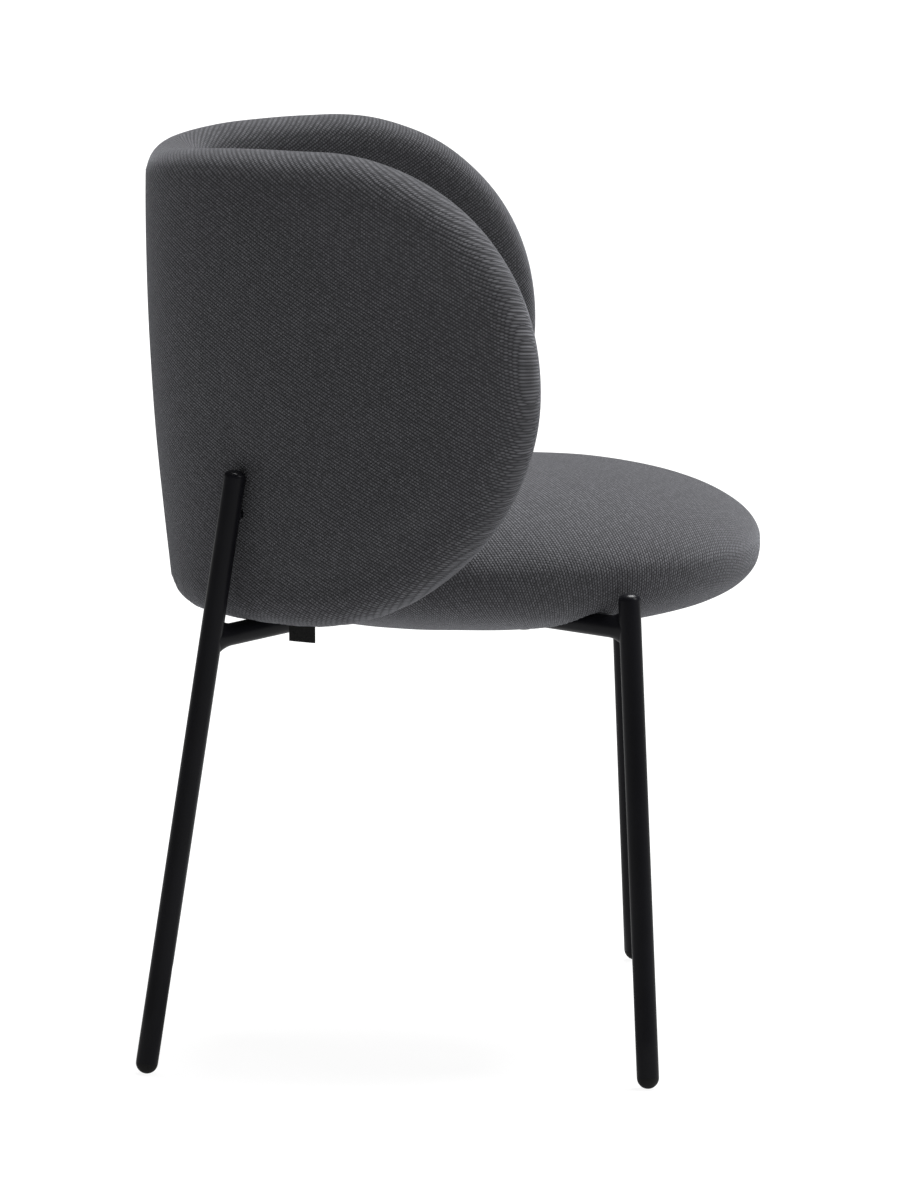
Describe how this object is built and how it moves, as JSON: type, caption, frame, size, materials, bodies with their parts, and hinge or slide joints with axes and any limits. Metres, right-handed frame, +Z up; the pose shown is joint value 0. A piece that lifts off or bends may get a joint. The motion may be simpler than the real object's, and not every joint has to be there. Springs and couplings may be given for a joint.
{
  "type": "dining chair",
  "caption": "Dining chair with a thick padded back that wraps round in two round wings, a round padded seat and a welded black tube frame with splayed legs.",
  "frame": {"origin": "on the floor under the middle of the chair's bounding box", "axes": "+Z up, the chair faces -Y, +X is the sitter's left side"},
  "size_m": [0.5128, 0.5377, 0.7838],
  "materials": {
    "black_paint": "satin black powder coat",
    "black_plastic": "black moulded glide",
    "zinc_steel": "zinc plated",
    "fabric": "dark grey fine diagonal weave",
    "foam": "cut polyurethane foam",
    "plywood": "raw plywood",
    "black_cloth": "black woven cloth"
  },
  "bodies": {
    "root": {"leg_front_right": "black_paint", "leg_front_left": "black_paint", "leg_rear_right": "black_paint", "leg_rear_left": "black_paint", "leg_cap_front_right": "black_paint", "leg_cap_front_left": "black_paint", "leg_cap_rear_right": "black_paint", "leg_cap_rear_left": "black_paint", "foot_glide_front_right": "black_plastic", "foot_glide_front_left": "black_plastic", "foot_glide_rear_right": "black_plastic", "foot_glide_rear_left": "black_plastic", "cross_bar_long": "black_paint", "cross_bar_front_half": "black_paint", "cross_bar_rear_half": "black_paint", "seat_board": "plywood", "seat_foam": "foam", "seat_cover": "fabric", "seat_dust_cloth": "black_cloth", "seat_bolt_front_right": "zinc_steel", "seat_bolt_front_left": "zinc_steel", "seat_bolt_rear_right": "zinc_steel", "seat_bolt_rear_left": "zinc_steel", "seat_tee_nut_front_right": "zinc_steel", "seat_tee_nut_front_left": "zinc_steel", "seat_tee_nut_rear_right": "zinc_steel", "seat_tee_nut_rear_left": "zinc_steel", "back_panel": "plywood", "back_foam": "foam", "back_cover": "fabric", "back_bracket": "zinc_steel", "board_screw_right": "zinc_steel", "board_screw_left": "zinc_steel", "panel_screw_right": "zinc_steel", "panel_screw_left": "zinc_steel", "back_boss_right": "black_paint", "back_boss_left": "black_paint", "back_bolt_right": "zinc_steel", "back_bolt_left": "zinc_steel", "woven_tag": "black_cloth"}
  },
  "joints": []
}
